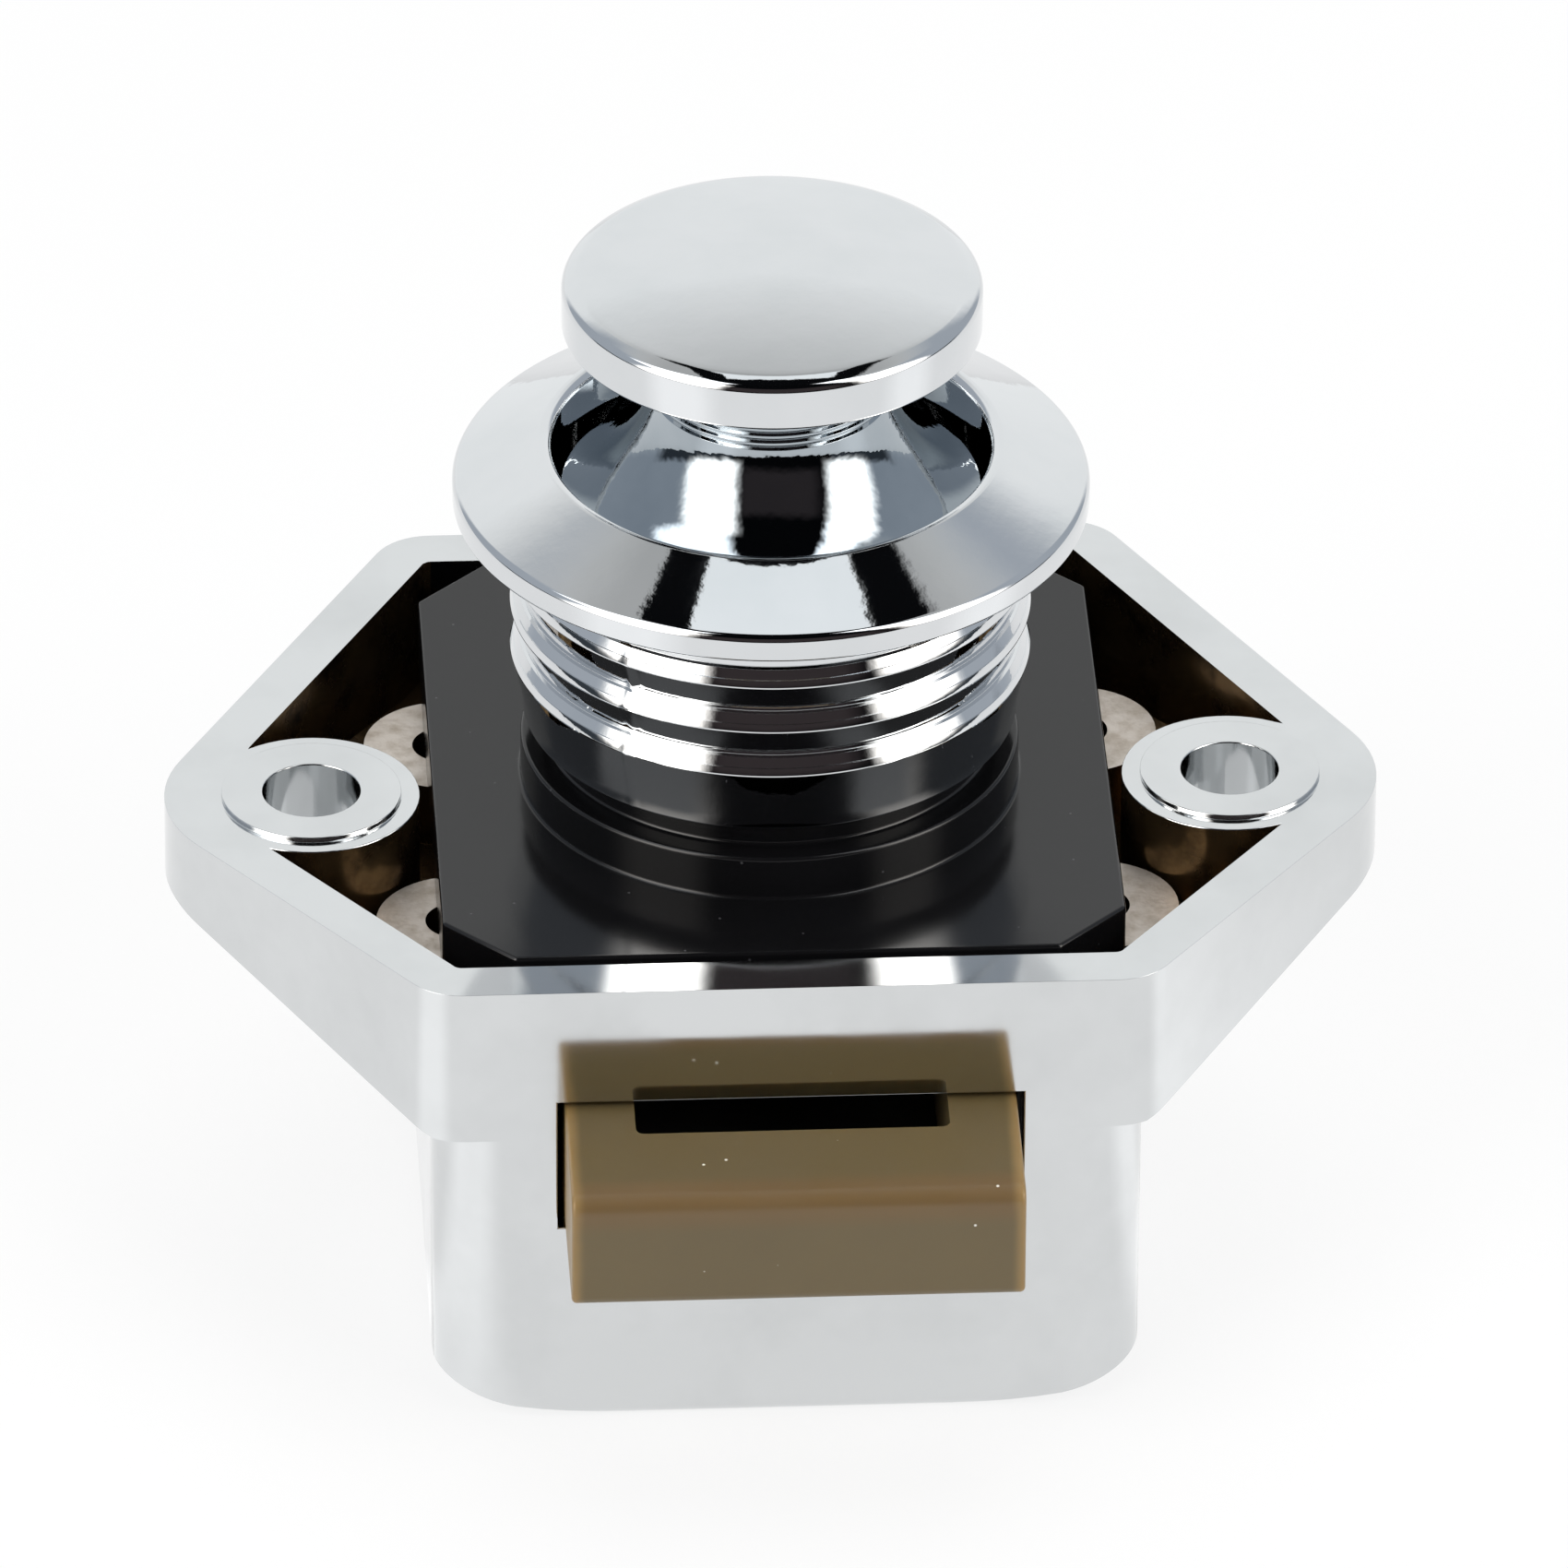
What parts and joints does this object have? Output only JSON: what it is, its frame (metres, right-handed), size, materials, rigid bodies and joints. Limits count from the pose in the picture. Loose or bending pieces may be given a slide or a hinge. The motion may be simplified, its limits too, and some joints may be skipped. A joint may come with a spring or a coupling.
{
  "type": "push button cabinet lock",
  "caption": "Push button lock for a cabinet door: die-cast winged case with a sliding bolt, a spring-loaded round knob and a screw-on rosette.",
  "frame": {"origin": "where the knob axis meets the plane of the case rim, which lies against the back of the door", "axes": "+Z along the knob axis, out through the door; -Y the way the bolt points; +X along the line of the two screw holes"},
  "size_m": [0.0594, 0.0502, 0.0536],
  "materials": {
    "chrome_zinc": "bright chrome plating on a zinc die casting, tumbled before plating so its broad faces are slightly soft",
    "chrome_abs": "mirror chrome plating on moulded plastic",
    "black_plastic": "moulded black plastic, glossy",
    "guide_plastic": "moulded dark nylon, matt",
    "cam_acetal": "moulded black acetal, satin",
    "bolt_nylon": "moulded olive brown nylon, satin, lighter along its edges",
    "zinc_steel": "zinc plated steel",
    "ground_steel": "ground steel, oiled",
    "spring_steel": "drawn spring steel"
  },
  "bodies": {
    "case": {"lock_case": "chrome_zinc", "cover_plate": "black_plastic", "bolt_guide": "guide_plastic", "rosette": "chrome_abs", "return_spring": "spring_steel", "spring_washer": "zinc_steel", "leaf_spring": "spring_steel", "leaf_screw": "zinc_steel"},
    "knob": {"knob_cap": "chrome_abs", "knob_bell": "chrome_abs", "knob_stud": "zinc_steel", "cam_slide": "cam_acetal"},
    "draw_bolt": {"bolt": "bolt_nylon", "cam_pin": "ground_steel"},
    "latch": {"latch_wire": "spring_steel"}
  },
  "joints": [
    {"name": "knob_press", "type": "slide", "parent": "case", "child": "knob", "axis": [0, 0, -1], "range_m": [0, 0.0088], "stiffness_N_per_m": 500, "springref_m": -0.006, "deforming": ["return_spring"]},
    {"name": "bolt_draw", "type": "slide", "parent": "case", "child": "draw_bolt", "axis": [0, 1, 0], "range_m": [0, 0.0075]},
    {"name": "latch_swing", "type": "hinge", "parent": "case", "child": "latch", "pos_m": [0, 0.00832, -0.01988], "axis": [0, 1, 0], "range_deg": [0, 17.5]}
  ],
  "couplings": [
    {"joint": "bolt_draw", "follows": "knob_press", "ratio": 0.852}
  ]
}
